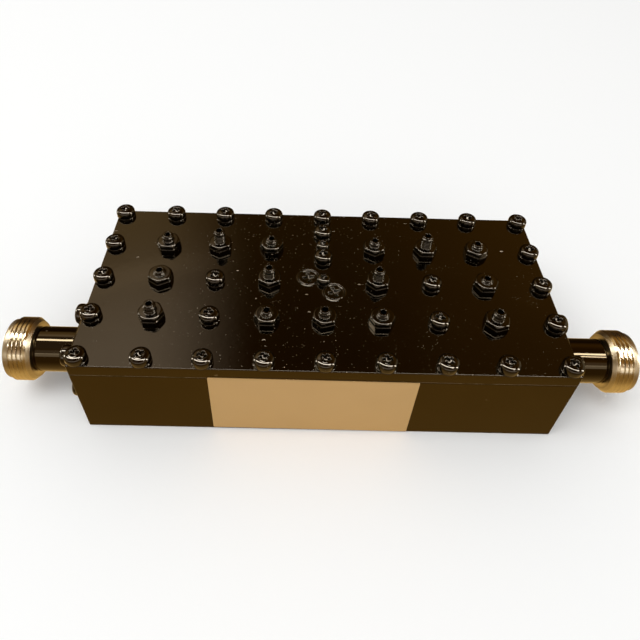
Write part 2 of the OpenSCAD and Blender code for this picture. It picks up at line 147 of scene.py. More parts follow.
class Net:
    """Node tree under construction, for a material, the world or a shape."""

    def __init__(self, tree: bpy.types.NodeTree) -> None:
        """Start with an empty tree."""
        self.tree = tree
        tree.nodes.clear()

    def add(
        self,
        kind: str,
        settings: dict[str, Any] | None = None,
        inputs: dict[Any, Any] | None = None,
        out: int = 0,
    ) -> Sock:
        """Add one node.

        Args:
            kind: The node's type.
            settings: Its options, set before its sockets are used.
            inputs: Values or outputs for its inputs, by name or number.
            out: Number of the output that is returned.

        Returns:
            The chosen output.
        """
        node = self.tree.nodes.new(kind)
        for name, value in (settings or {}).items():
            setattr(node, name, value)
        for key, value in (inputs or {}).items():
            if isinstance(value, Sock):
                self.tree.links.new(value.socket, node.inputs[key])
            else:
                node.inputs[key].default_value = value
        socket = node.outputs[out] if len(node.outputs) else None
        return Sock(self, socket)

    def split(self, vector: Sock) -> tuple[Sock, Sock, Sock]:
        """The three parts of a vector."""
        x = self.add("ShaderNodeSeparateXYZ", inputs={0: vector})
        return x, x.twin(1), x.twin(2)

    def join(self, x: Any, y: Any, z: Any) -> Sock:
        """A vector from its three parts."""
        return self.add("ShaderNodeCombineXYZ", inputs={0: x, 1: y, 2: z})

    def opaque(self, colour: Any) -> Any:
        """A colour triple with full alpha, or the output as it is."""
        return colour if isinstance(colour, Sock) else (*colour, 1.0)

    def blend(self, share: Any, under: Any, over: Any) -> Sock:
        """A share of the second colour over the first, each a triple or an output."""
        inputs = {0: share, 6: self.opaque(under), 7: self.opaque(over)}
        return self.add("ShaderNodeMix", {"data_type": "RGBA"}, inputs, out=2)

    def noise(self, place: Sock, scale: float, detail: float = 2.0) -> Sock:
        """Noise between 0 and 1 at a number of features per metre."""
        return self.add("ShaderNodeTexNoise", inputs={"Vector": place, "Scale": scale, "Detail": detail})

    def bump(self, height: Sock, depth: float, under: Sock | None = None) -> Sock:
        """Bumped normal.

        Args:
            height: Height between 0 and 1.
            depth: Depth of a full step, in metres.
            under: Normal that this one is laid over.

        Returns:
            The normal.
        """
        inputs: dict[str, Any] = {"Height": height, "Distance": depth, "Strength": 1.0}
        if under is not None:
            inputs["Normal"] = under
        return self.add("ShaderNodeBump", inputs=inputs)

    def light(self, colour: Any, strength: Any) -> Sock:
        """Light of a colour and a strength, for the world."""
        return self.add("ShaderNodeBackground", inputs={0: self.opaque(colour), 1: strength})


@dataclass(frozen=True)
class Finish:
    """Finish of a surface; its subclasses add the grain that it carries."""

    name: str
    slot: str
    colour: Colour
    roughness: float
    metallic: float = 0.0
    specular: float = 0.5
    tint: Colour = (1.0, 1.0, 1.0)

    def material(self) -> bpy.types.Material:
        """Make the finish's material on its first use.

        Returns:
            The material.
        """
        found = bpy.data.materials.get(self.name)
        if found:
            return found
        material = bpy.data.materials.new(self.name)
        material.use_nodes = True
        net = Net(material.node_tree)
        place = net.add("ShaderNodeTexCoord", out=3)
        inputs: dict[str, Any] = {
            "Base Color": net.opaque(self.colour),
            "Roughness": self.roughness,
            "Metallic": self.metallic,
            "Specular IOR Level": self.specular,
            "Specular Tint": net.opaque(self.tint),
        }
        inputs.update(self.grain(net, place))
        shader = net.add("ShaderNodeBsdfPrincipled", inputs=inputs)
        net.add("ShaderNodeOutputMaterial", inputs={"Surface": shader})
        return material

    def grain(self, net: Net, place: Sock) -> dict[str, Any]:
        """What varies over the surface: faint clouds and fine grit.

        Args:
            net: The material's nodes.
            place: Object coordinates.

        Returns:
            Inputs of the shader, by name.
        """
        cloud = net.noise(place, scale=400.0, detail=3.0)
        grit = net.noise(place, scale=5000.0)
        return {
            "Base Color": net.blend(cloud, self.shade(0.9), self.shade(1.08)),
            "Roughness": self.roughness * 0.85 + cloud * (self.roughness * 0.3),
            "Normal": net.bump(grit, depth=4e-6),
        }

    def shade(self, factor: float) -> Colour:
        """The finish's colour, lighter or darker by a factor."""
        return tuple(channel * factor for channel in self.colour)


@dataclass(frozen=True)
class Plain(Finish):
    """Even finish without any grain."""

    def grain(self, net: Net, place: Sock) -> dict[str, Any]:
        """Nothing varies."""
        return {}


@dataclass(frozen=True)
class Specks:
    """Scattered specks, at most one in each cell of a pattern.

    Scale is the number of cells per metre, bare the share of the cells without a speck, and reach and
    least the largest and the smallest radius, as shares of a cell.
    """

    scale: float
    reach: float
    bare: float
    least: float = 0.04
    soft_from: float = 0.6
    soft_choice: float = 0.02

    def mask(self, net: Net, place: Sock) -> Sock:
        """Mask that is 1 on a speck.

        Args:
            net: The material's nodes.
            place: Coordinates in which a speck is round.

        Returns:
            The mask.
        """
        cell = net.add("ShaderNodeTexVoronoi", inputs={"Vector": place, "Scale": self.scale})
        chance, size, _ = net.split(cell.twin(1))
        radius = size * self.reach + self.least
        chosen = chance.step(self.bare, self.bare + self.soft_choice)
        return (cell / radius).fall(self.soft_from, 1.0) * chosen


@dataclass(frozen=True)
class Paint(Finish):
    """Sprayed enamel as a dark mirror, with orange peel, faint clouds and settled dust.

    Dust is the share of it that lies here, thickest between dusty_from and dusty_to along X, and seam
    is the height of the joint along which a broken light line is painted in the dust's colour, a
    painted highlight of the joint's edges.
    """

    metallic: float = 1.0
    dust: float = 1.0
    dust_colour: Colour = (0.30, 0.24, 0.17)
    dust_height: float = 5e-5
    dusty_from: Pair = (-45 * MM, -5 * MM)
    dusty_to: Pair = (12 * MM, 40 * MM)
    coarse: Specks = Specks(scale=1100.0, reach=0.12, bare=0.74)
    fine: Specks = Specks(scale=2300.0, reach=0.22, bare=0.76)
    lint: Specks = Specks(scale=900.0, reach=0.13, bare=0.91)
    peel: float = 5e-6
    seam: float = -1.0
    seam_line: Pair = (0.06 * MM, 0.14 * MM)

    def grain(self, net: Net, place: Sock) -> dict[str, Any]:
        """Orange peel, clouds in the gloss, and dust specks under and on the paint.

        Args:
            net: The material's nodes.
            place: Object coordinates.

        Returns:
            Inputs of the shader, by name.
        """
        x, _, z = net.split(place)
        wide = net.noise(place, scale=60.0)
        region = x.step(*self.dusty_from, 0.3, 1.0) * x.step(*self.dusty_to, 1.0, 0.35) * self.dust
        coarse = self.coarse.mask(net, place) * wide.step(0.30, 0.52)
        fine = self.fine.mask(net, place) * wide.step(0.32, 0.54, 0.0, 0.8)
        lint = self.lint.mask(net, self.stretched(net, place)) * self.dust
        patches = net.noise(place, scale=150.0, detail=3.0).step(0.30, 0.52, 0.0, 0.8)
        # Painted highlight: a broken light line along the seam, in the dust's colour, where the joint's edges
        # would catch the light.
        seam_highlight = z.off(self.seam).fall(*self.seam_line) * patches
        # Dust specks and lint, together with the painted seam highlight, in one mask.
        dust_and_highlight = (coarse.most(fine) * region).most(lint).most(seam_highlight)
        haze = net.noise(place, scale=170.0, detail=4.0).step(0.45, 0.75, 0.0, 0.03)
        peel = net.bump(net.noise(place, scale=620.0, detail=1.0), self.peel)
        clouds = net.blend(wide, self.shade(0.9), self.shade(1.1))
        return {
            "Base Color": net.blend(dust_and_highlight, clouds, self.dust_colour),
            "Metallic": 1 - dust_and_highlight,
            "Roughness": self.roughness + haze + dust_and_highlight * 0.45,
            "Normal": net.bump(dust_and_highlight, self.dust_height, under=peel),
        }

    def stretched(self, net: Net, place: Sock) -> Sock:
        """Coordinates in which short lint lies bent, turned and stretched.

        Args:
            net: The material's nodes.
            place: Object coordinates.

        Returns:
            The coordinates.
        """
        warp = net.add("ShaderNodeTexNoise", inputs={"Vector": place, "Scale": 700.0}, out=1)
        shift = (0.8 * MM,) * 3
        bent = net.add("ShaderNodeVectorMath", {"operation": "MULTIPLY_ADD"}, {0: warp, 1: shift, 2: place})
        inputs = {0: bent, "Rotation": (0.0, 0.0, 0.6), "Scale": (0.3, 1.0, 0.6)}
        return net.add("ShaderNodeMapping", {"vector_type": "POINT"}, inputs)


@dataclass(frozen=True)
class TurnedMetal(Finish):
    """Turned and plated metal with tool marks round an axis along X, and dark roots.

    Axis is the axis's place along Y and Z, and crest and root are the thread's radii.
    """

    axis: Pair = (0.0, 0.0)
    crest: float = 7.94 * MM
    root: float = 7.3 * MM
    grime: Colour = (0.12, 0.08, 0.04)

    def grain(self, net: Net, place: Sock) -> dict[str, Any]:
        """Tool marks, uneven plating and a darker, rougher colour in the roots of the thread.

        Args:
            net: The material's nodes.
            place: Object coordinates.

        Returns:
            Inputs of the shader, by name.
        """
        x, y, z = net.split(place)
        y, z = y - self.axis[0], z - self.axis[1]
        radius = (y * y + z * z) ** 0.5
        marks = net.noise(net.join(x * 9.0, y * 0.25, z * 0.25), scale=900.0, detail=3.0)
        cloud = net.noise(place, scale=260.0, detail=3.0)
        half_way = self.root + 0.55 * (self.crest - self.root)
        groove = radius.band((self.root - 1.5 * MM, self.root - 0.4 * MM), (self.root, half_way))
        # Darker and rougher colour in the roots of the thread.
        grime = groove * (cloud * 0.3 + 0.08)
        slanted = radius.fall(self.root + 0.22 * MM, self.root + 0.38 * MM)
        plating = net.blend(cloud, self.shade(0.86), self.shade(1.12))
        return {
            "Base Color": net.blend(grime, plating, self.grime),
            "Roughness": marks * 0.10 + grime * 0.3 + slanted * 0.13 + (self.roughness - 0.05),
            "Normal": net.bump(marks, depth=2e-6, under=net.bump(cloud, depth=5e-6)),
        }


@dataclass(frozen=True)
class Film(Finish):
    """Bare polyester film, pressed over the seam between lid and housing."""

    seam: float = 21.9 * MM
    dent: float = 0.45 * MM

    def grain(self, net: Net, place: Sock) -> dict[str, Any]:
        """Faint mottling, a soft dent over the seam with painted shade in it, and slight waves from the hand
        that put it on.

        Args:
            net: The material's nodes.
            place: Object coordinates.

        Returns:
            Inputs of the shader, by name.
        """
        # Flat is 0 over the seam and 1 away from it; the dent there is bumped in and darkened as painted
        # shade.
        flat = net.split(place)[2].off(self.seam).step(0.0, self.dent)
        waves = net.noise(place, scale=90.0, detail=1.0)
        fine = net.noise(place, scale=2500.0, detail=3.0)
        body = net.blend(waves, self.shade(0.96), self.shade(1.04))
        pressed = net.bump(waves, depth=1.2e-4, under=net.bump(flat, depth=6e-5))
        return {
            "Base Color": net.blend((1 - flat) * 0.12, body, self.shade(0.7)),
            "Roughness": self.roughness + fine * 0.12,
            "Normal": net.bump(fine, depth=3e-6, under=pressed),
        }


EDGE_WARM = (1.0, 0.95, 0.86)
EDGE_EVEN = (0.6, 0.6, 0.6)
SOCKET_AXIS = (-12.25 * MM, 11.8 * MM)
WALL_SEAM = 21.93 * MM

BLACK_GLOSS = Paint("black_gloss_paint", "black_paint", (0.048, 0.041, 0.031), 0.045, tint=EDGE_WARM)
BLACK_WALL = Paint(
    "black_wall_paint",
    "black_paint",
    (0.0518, 0.0365, 0.0135),
    0.13,
    tint=EDGE_EVEN,
    dust=0.25,
    seam=WALL_SEAM,
)
BLACK_TURNED = Paint(
    "black_turned_paint", "black_paint", (0.048, 0.036, 0.020), 0.055, tint=EDGE_WARM, dust=0.4
)
NICKEL = TurnedMetal("warm_nickel", "nickel_plate", (0.50, 0.42, 0.28), 0.17, 1.0, axis=SOCKET_AXIS)
SILVER = Finish("dull_silver", "silver_plate", (0.82, 0.80, 0.74), 0.3, 1.0)
STEEL = Finish("zinc_steel", "screw_steel", (0.50, 0.50, 0.51), 0.35, 1.0)
BRASS = Finish("gilt_contact", "gilt_brass", (0.83, 0.62, 0.28), 0.25, 1.0)
WHITE = Finish("white_insulator", "white_ptfe", (0.84, 0.83, 0.80), 0.42)
FILM = Film("label_film", "label_foil", (0.481, 0.291, 0.112), 0.36, specular=0.35)


@dataclass(frozen=True)
class Lamp:
    """Area lamp in front of and above the object, facing it, that polished surfaces don't show.

    Across is its place along X and distance that from the X axis, in metres. Elevation is its angle
    above the horizon in front, in degrees. Radiance is the brightness of its face, where 1 is white.
    """

    name: str
    across: float
    elevation: float
    distance: float
    size: Pair
    radiance: float

    def build(self) -> None:
        """Hang the lamp."""
        data = bpy.data.lights.new(self.name, "AREA")
        data.shape = "RECTANGLE"
        data.size, data.size_y = self.size
        data.energy = math.pi * self.size[0] * self.size[1] * self.radiance
        lamp = bpy.data.objects.new(self.name, data)
        angle = math.radians(self.elevation)
        lamp.location = (self.across, -self.distance * math.cos(angle), self.distance * math.sin(angle))
        lamp.rotation_euler = (math.pi / 2 - angle, 0.0, 0.0)
        lamp.visible_glossy = False
        bpy.context.scene.collection.objects.link(lamp)


@dataclass(frozen=True)
class Studio:
    """Camera at the photograph's viewing angle, pale floor, soft lamps and a plain world."""

    place: tuple[float, float, float] = (-0.00717153, -0.10188314, 0.13632290)
    turn: tuple[float, float, float] = (46.92854515, -1.54990456, 0.44185384)
    lens: float = 32.98411
    sensor: float = 36.0
    shift: Pair = (0.0246371, -0.1279)
    nearest: float = 5 * MM
    floor_size: float = 6.0
    floor_colour: Colour = (0.93, 0.93, 0.92)
    ambient: float = 0.70
    lamp_colour: Colour = (0.97, 1.0, 1.08)
    tube: float = 26.0
    card_low: float = 1.4
    card_edge: float = 3.0
    card_glow: float = 0.35
    lamps: tuple[Lamp, ...] = (
        Lamp("key_lamp", across=-0.75, elevation=80.0, distance=1.5, size=(1.6, 0.8), radiance=3.0),
        Lamp("front_lamp", across=0.4, elevation=28.0, distance=2.0, size=(2.4, 0.5), radiance=1.2),
    )

    def build(self) -> None:
        """Set up everything that isn't part of the object."""
        self.camera()
        self.floor()
        self.world()
        for lamp in self.lamps:
            lamp.build()
        bpy.context.scene.view_settings.view_transform = "Standard"

    def camera(self) -> None:
        """Camera of the photograph."""
        data = bpy.data.cameras.new("photo_camera")
        data.lens = self.lens
        data.sensor_width = self.sensor
        data.shift_x, data.shift_y = self.shift
        data.clip_start = self.nearest
        camera = bpy.data.objects.new("photo_camera", data)
        camera.location = self.place
        camera.rotation_euler = [math.radians(angle) for angle in self.turn]
        bpy.context.scene.collection.objects.link(camera)
        bpy.context.scene.camera = camera

    def floor(self) -> None:
        """Pale floor that keeps the object's shadow."""
        half = self.floor_size / 2
        corners = [(-half, -half, 0), (half, -half, 0), (half, half, 0), (-half, half, 0)]
        mesh = bpy.data.meshes.new("pale_floor")
        mesh.from_pydata(corners, [], [(0, 1, 2, 3)])
        floor = Bench.link("pale_floor", mesh)
        finish = Plain("pale_floor", "", self.floor_colour, 0.9, specular=0.0)
        mesh.materials.append(finish.material())
        floor.visible_glossy = False

    def world(self) -> None:
        """White to the camera, an even light on everything, and a dim brown room with lamps in gloss."""
        world = bpy.data.worlds.new("studio_room")
        world.use_nodes = True
        net = Net(world.node_tree)
        x, y, z = net.split(net.add("ShaderNodeTexCoord"))
        camera = net.add("ShaderNodeLightPath")
        glossy, passing = camera.twin(3), camera.twin(6)
        lit = net.light(self.lamp_colour, self.tubes(x, y, z) + self.card(x, y, z))
        dim = net.light(self.room(net, x, y, z), 1.0)
        gloss = net.add("ShaderNodeAddShader", inputs={0: lit, 1: dim})
        plain = net.light((1.0, 1.0, 1.0), self.ambient)
        white = net.light((1.0, 1.0, 1.0), 1.0)
        seen = net.add("ShaderNodeMixShader", inputs={0: glossy, 1: plain, 2: gloss})
        shown = net.add("ShaderNodeMixShader", inputs={0: camera.most(passing), 1: seen, 2: white})
        net.add("ShaderNodeOutputWorld", inputs={0: shown})
        bpy.context.scene.world = world

    def tubes(self, x: Sock, y: Sock, z: Sock) -> Sock:
        """Long tube overhead, the lamps at its two ends and a thin one at the right.

        Args:
            x: Direction along X.
            y: Direction along Y.
            z: Direction along Z.

        Returns:
            Their brightness.
        """
        across = y + x * 0.23 - 0.05
        above = z.step(0.02, 0.06)
        row = across.off().fall(0.05, 0.08) * above
        middle = x.band((-0.70, -0.64), (0.50, 0.56))
        ends = x.step(0.74, 0.79) + x.fall(-0.90, -0.87)
        thin = across.off(-0.20).fall(0.02, 0.04) * above * x.band((0.30, 0.36), (0.50, 0.56))
        return (row * (middle + ends) + thin) * self.tube

    def card(self, x: Sock, y: Sock, z: Sock) -> Sock:
        """Card low in front, its bright upper edge and the glow above it.

        Args:
            x: Direction along X.
            y: Direction along Y.
            z: Direction along Z.

        Returns:
            Their brightness.
        """
        rise = z / (0 - y).most(0.05)
        low = rise.band((0.20, 0.25), (0.42, 0.46)) * self.card_low
        edge = rise.band((0.44, 0.48), (0.54, 0.58)) * self.card_edge
        glow = rise.band((0.52, 0.60), (0.9, 1.1)) * self.card_glow
        return y.step(0.0, -0.1) * x.off().fall(0.62, 0.80) * (low + edge + glow)

    def room(self, net: Net, x: Sock, y: Sock, z: Sock) -> Sock:
        """Dark brown room, warmer at the back right, with a lit wall at the left and a pale table below.

        Args:
            net: The world's nodes.
            x: Direction along X.
            y: Direction along Y.
            z: Direction along Z.

        Returns:
            Its colour.
        """
        back = net.blend(x.step(0.05, 0.40), (0.23, 0.115, 0.017), (0.42, 0.21, 0.033))
        dark = net.blend(z.step(0.62, 0.85, 0.0, 0.55), back, (0.06, 0.015, 0.0))
        horizon = net.blend(y.step(-0.35, 0.10), (0.36, 0.21, 0.06), (0.07, 0.035, 0.01))
        low = net.blend(z.step(0.25, 0.62), horizon, dark)
        ends = x.off().step(0.70, 0.80, 0.0, 0.8) * z.band((-0.2, 0.0), (0.60, 0.75))
        sides = net.blend(ends, low, (1.0, 0.85, 0.60))
        wall = x.fall(-0.27, -0.06) * z.step(0.40, 0.60) * y.step(0.40, 0.49, 0.14, 1.0)
        fold = z.off(0.705).step(0.004, 0.02, 1.0, 0.8)
        paper = net.blend(z.step(0.64, 0.80), (1.15, 0.84, 0.44), (2.0, 1.72, 1.42))
        room = net.blend(wall * fold, sides, paper)
        return net.blend(z.step(-0.25, -0.82), room, (0.88, 0.58, 0.21))


class Bench:
    """Tools that turn outlines into pieces of the object."""

    @staticmethod
    def angles(segments: int) -> np.ndarray:
        """Evenly spaced angles round the axis."""
        return np.arange(segments) * TAU / segments

    @staticmethod
    def quarter(count: int) -> list[Pair]:
        """Points of a quarter round of radius 1, each as its distances from the two outer sides."""
        return [(1 - math.sin(turn), 1 - math.cos(turn)) for turn in np.linspace(0, math.pi / 2, count)]

    @staticmethod
    def polygon_radius(angles: np.ndarray, apothem: float, sides: int, hardness: float) -> np.ndarray:
        """Outline of a regular polygon with rounded corners.

        Args:
            angles: Angles round the axis; a flat lies at angle 0.
            apothem: Distance from the axis to a flat.
            sides: Number of sides, which is even.
            hardness: Exponent of the outline; a higher one gives sharper corners.

        Returns:
            The outline's radius at each angle.
        """
        facings = [np.abs(np.cos(angles - i * TAU / sides)) ** hardness for i in range(sides // 2)]
        return apothem * sum(facings) ** (-1 / hardness)

    @staticmethod
    def loft(
        name: str, rings: Sequence[Ring], segments: int, loop: bool = False, gap: int | None = None
    ) -> bpy.types.Object:
        """Surface through rings round the Z axis, from the top outwards and down.

        Args:
            name: The object's name.
            rings: Radius and height of each ring, as numbers or as one value per angle.
            segments: Points on each ring.
            loop: Whether the last ring joins the first; otherwise both ends close in a point.
            gap: Number of the ring after which the surface is left open, if it is.

        Returns:
            An object with the mesh.
        """
        angles = Bench.angles(segments)
        points: list[np.ndarray] = []
        faces: list[tuple[int, ...]] = []
        for radius, height in rings:
            ring = np.zeros((segments, 3))
            ring[:, 0] = radius * np.cos(angles)
            ring[:, 1] = radius * np.sin(angles)
            ring[:, 2] = height
            points.append(ring)
        count = len(rings)
        following = [(i + 1) % segments for i in range(segments)]
        for k in range(count if loop else count - 1):
            if k == gap:
                continue
            upper, lower = k * segments, ((k + 1) % count) * segments
            faces += [(upper + i, lower + i, lower + j, upper + j) for i, j in enumerate(following)]
        mesh = bpy.data.meshes.new(name)
        mesh.from_pydata(np.concatenate(points).tolist(), [], faces)
        Bench.weld(mesh)
        return Bench.link(name, mesh)

    @staticmethod
    def link(name: str, mesh: bpy.types.Mesh) -> bpy.types.Object:
        """Put a mesh into the scene.

        Args:
            name: The object's name.
            mesh: The mesh.

        Returns:
            The object, at the origin.
        """
        piece = bpy.data.objects.new(name, mesh)
        bpy.context.scene.collection.objects.link(piece)
        return piece

    @staticmethod
    def weld(mesh: bpy.types.Mesh, distance: float = 1e-7, flatten: bool = False) -> None:
        """Merge doubled points.

        Args:
            mesh: The mesh to change.
            distance: Largest distance between doubled points.
            flatten: Whether flat triangles are joined to whole faces as well.
        """
        work = bmesh.new()
        work.from_mesh(mesh)
        bmesh.ops.remove_doubles(work, verts=work.verts, dist=distance)
        bmesh.ops.dissolve_degenerate(work, edges=work.edges, dist=distance)
        if flatten:
            bmesh.ops.dissolve_limit(work, angle_limit=0.002, verts=work.verts, edges=work.edges)
        work.to_mesh(mesh)
        work.free()

    @staticmethod
    def merge(piece: bpy.types.Object, other: bpy.types.Object) -> None:
        """Weld a second object into a piece and remove it.

        Args:
            piece: The piece that stays.
            other: The object that goes into it.
        """
        work = bmesh.new()
        work.from_mesh(piece.data)
        work.from_mesh(other.data)
        bmesh.ops.remove_doubles(work, verts=work.verts, dist=1e-6)
        work.to_mesh(piece.data)
        work.free()
        bpy.data.objects.remove(other)

    @staticmethod
    def soften(piece: bpy.types.Object, crease: float = 50.0, weighted: bool = False) -> None:
        """Shade a piece smoothly.

        Args:
            piece: The piece.
            crease: Angle in degrees past which an edge stays sharp.
            weighted: Whether large flats keep their own direction up to their edges.
        """
        piece.data.shade_smooth()
        piece.data.set_sharp_from_angle(angle=math.radians(crease))
        if weighted:
            modifier = piece.modifiers.new("even_flats", "WEIGHTED_NORMAL")
            modifier.keep_sharp = True
            modifier.weight = 100
            Bench.bake(piece)

    @staticmethod
    def bake(piece: bpy.types.Object) -> None:
        """Turn a piece with its modifiers into a plain mesh.

        Args:
            piece: The piece.
        """
        depsgraph = bpy.context.evaluated_depsgraph_get()
        mesh = bpy.data.meshes.new_from_object(piece.evaluated_get(depsgraph), depsgraph=depsgraph)
        piece.modifiers.clear()
        piece.data = mesh
        mesh.name = piece.name

    @staticmethod
    def settle(piece: bpy.types.Object, finish: Finish, *nodes: str) -> None:
        """Give a finished piece its material and body, and hide the frame's nodes that it stands for.

        Args:
            piece: The piece, in place.
            finish: Its finish.
            nodes: The frame's nodes that it stands for.
        """
        if not piece.data.materials:
            piece.data.materials.append(finish.material())
        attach(piece, "root")
        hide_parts(*nodes)
        LOG.info("%s: %d faces, stands for %s", piece.name, len(piece.data.polygons), ", ".join(nodes))

    @staticmethod
    def softened_copy(name: str, node: str, crease: float = 50.0) -> bpy.types.Object:
        """Smoothly shaded copy of a node of the frame.

        Args:
            name: The new piece's name.
            node: The node to copy.
            crease: Angle in degrees past which an edge stays sharp.

        Returns:
            The copy.
        """
        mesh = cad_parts[node].data.copy()
        mesh.materials.clear()
        normals = mesh.attributes.get("custom_normal")
        if normals:
            mesh.attributes.remove(normals)
        Bench.weld(mesh, 1e-6, flatten=True)
        piece = Bench.link(name, mesh)
        Bench.soften(piece, crease, weighted=True)
        return piece


@dataclass(frozen=True)
class Spot:
    """Place of one copy: its point on the carrying face, its height above it and its turn in degrees."""

    x: float
    y: float
    z: float
    turn: float


@dataclass(frozen=True)
class Layout:
    """Grid on which everything on the lid stands."""

    column: float = 13.85 * MM
    row: float = 12.25 * MM
    rim_inset: float = 2.0 * MM
    last_column: int = 4
    rod_y: float = 13.1 * MM
    behind_rod: float = 5.2 * MM
    ahead_of_rod: float = 4.5 * MM
    post_screw_y: float = 0.55 * MM
    drift: float = 0.2 * MM

    @property
    def lid_top(self) -> float:
        """Height of the lid's upper face."""
        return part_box("lid")[1].z

    @property
    def rim(self) -> Pair:
        """Distance of the rim screws from the middle, along X and Y."""
        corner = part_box("lid")[1]
        return corner.x - self.rim_inset, corner.y - self.rim_inset

    @property
    def small_places(self) -> list[Pair]:
        """Places of the two small screws in the middle column."""
        return [(0.0, self.rod_y), (0.0, self.post_screw_y)]

    def set_back(self, spots: Sequence[Spot]) -> list[Spot]:
        """The same spots a little further back, as the hand that marked the lid put them."""
        return [replace(spot, y=spot.y + self.drift) for spot in spots]

    def column_x(self, index: int) -> float:
        """Place of a column of rim screws along X."""
        return math.copysign(self.rim[0], index) if abs(index) == self.last_column else index * self.column

    def cell(self, column: int, row: int) -> Pair:
        """Place of a cavity or of the opening between two."""
        return column * self.column, row * self.row

    def lid_screw_groups(self) -> dict[str, list[Pair]]:
        """Where the lid's screws stand.

        Returns:
            Their places, by the node that holds them.
        """
        columns = range(-self.last_column, self.last_column + 1)
        rim_x, rim_y = self.rim
        inner = [self.cell(2 * side, row) for side in (-1, 1) for row in (-1, 0)]
        middle = [(0.0, self.rod_y + self.behind_rod), (0.0, self.rod_y - self.ahead_of_rod)]
        return {
            "lid_screws_back": [(self.column_x(i), rim_y) for i in columns],
            "lid_screws_front": [(self.column_x(i), -rim_y) for i in columns],
            "lid_screws_left": [(-rim_x, j * self.row) for j in (-1, 0, 1)],
            "lid_screws_right": [(rim_x, j * self.row) for j in (-1, 0, 1)],
            "lid_screws_inner": inner + middle,
        }


class Shaper:
    """Geometry Nodes tree with named inputs, which is run on a piece and leaves it a plain mesh."""

    def __init__(self, name: str, inputs: dict[str, str]) -> None:
        """Start a tree.

        Args:
            name: The tree's name.
            inputs: Kind of each input that follows the geometry, by its name.
        """
        self.tree = bpy.data.node_groups.new(name, "GeometryNodeTree")
        self.net = Net(self.tree)
        face = self.tree.interface
        for way in ("INPUT", "OUTPUT"):
            face.new_socket(name="Geometry", in_out=way, socket_type="NodeSocketGeometry")
        self.keys = {
            label: face.new_socket(name=label, in_out="INPUT", socket_type=f"NodeSocket{kind}").identifier
            for label, kind in inputs.items()
        }
        self.start = self.net.add("NodeGroupInput")
        self.values = [self.start.twin(i + 1) for i in range(len(inputs))]

    def close(self, shape: Sock, finish: Sock) -> None:
        """End the tree with the shape's copies made real and its material set.

        Args:
            shape: The shape.
            finish: Its material.
        """
        solid = self.net.add("GeometryNodeRealizeInstances", inputs={"Geometry": shape})
        dressed = self.net.add("GeometryNodeSetMaterial", inputs={"Geometry": solid, "Material": finish})
        self.net.add("NodeGroupOutput", inputs={0: dressed})

    def run(self, piece: bpy.types.Object, **values: Any) -> None:
        """Run the tree on a piece.

        Args:
            piece: The piece.
            values: Value of each named input.
        """
        modifier = piece.modifiers.new(self.tree.name, "NODES")
        modifier.node_group = self.tree
        for label, value in values.items():
            modifier[self.keys[label]] = value
        Bench.bake(piece)


class Repeater(Shaper):
    """Tree that sets copies of one form on points, each turned its own way."""

    def __init__(self) -> None:
        """Build the tree."""
        kinds = {"Form": "Object", "Finish": "Material", "Spread": "Float", "Seed": "Int"}
        super().__init__("set_on_points", kinds)
        form, finish, spread, seed = self.values
        model = self.net.add("GeometryNodeObjectInfo", inputs={"Object": form}, out=4)
        turn = self.net.add("GeometryNodeInputNamedAttribute", {"data_type": "FLOAT"}, {"Name": "turn"})
        sizes = {2: 1 - spread, 3: 1 + spread, "Seed": seed}
        size = self.net.add("FunctionNodeRandomValue", {"data_type": "FLOAT"}, sizes, out=1)
        rotation = self.net.join(0.0, 0.0, turn)
        inputs = {"Points": self.start, "Instance": model, "Rotation": rotation, "Scale": size}
        self.close(self.net.add("GeometryNodeInstanceOnPoints", inputs=inputs), finish)

    def scatter(
        self,
        name: str,
        form: bpy.types.Object,
        spots: Sequence[Spot],
        finish: Finish,
        spread: float = 0.0,
        seed: int = 7,
    ) -> bpy.types.Object:
        """Set copies of a form on spots and turn them into one plain mesh.

        Args:
            name: The piece's name.
            form: The form, standing on the origin.
            spots: Where the copies stand.
            finish: Their finish.
            spread: Largest change of size from one copy to the next, as a share.
            seed: Seed of that change.

        Returns:
            The piece.
        """
        mesh = bpy.data.meshes.new(name)
        mesh.from_pydata([(spot.x, spot.y, spot.z) for spot in spots], [], [])
        turn = mesh.attributes.new("turn", "FLOAT", "POINT")
        turn.data.foreach_set("value", [math.radians(spot.turn) for spot in spots])
        piece = Bench.link(name, mesh)
        self.run(piece, Form=form, Finish=finish.material(), Spread=spread, Seed=seed)
        return piece


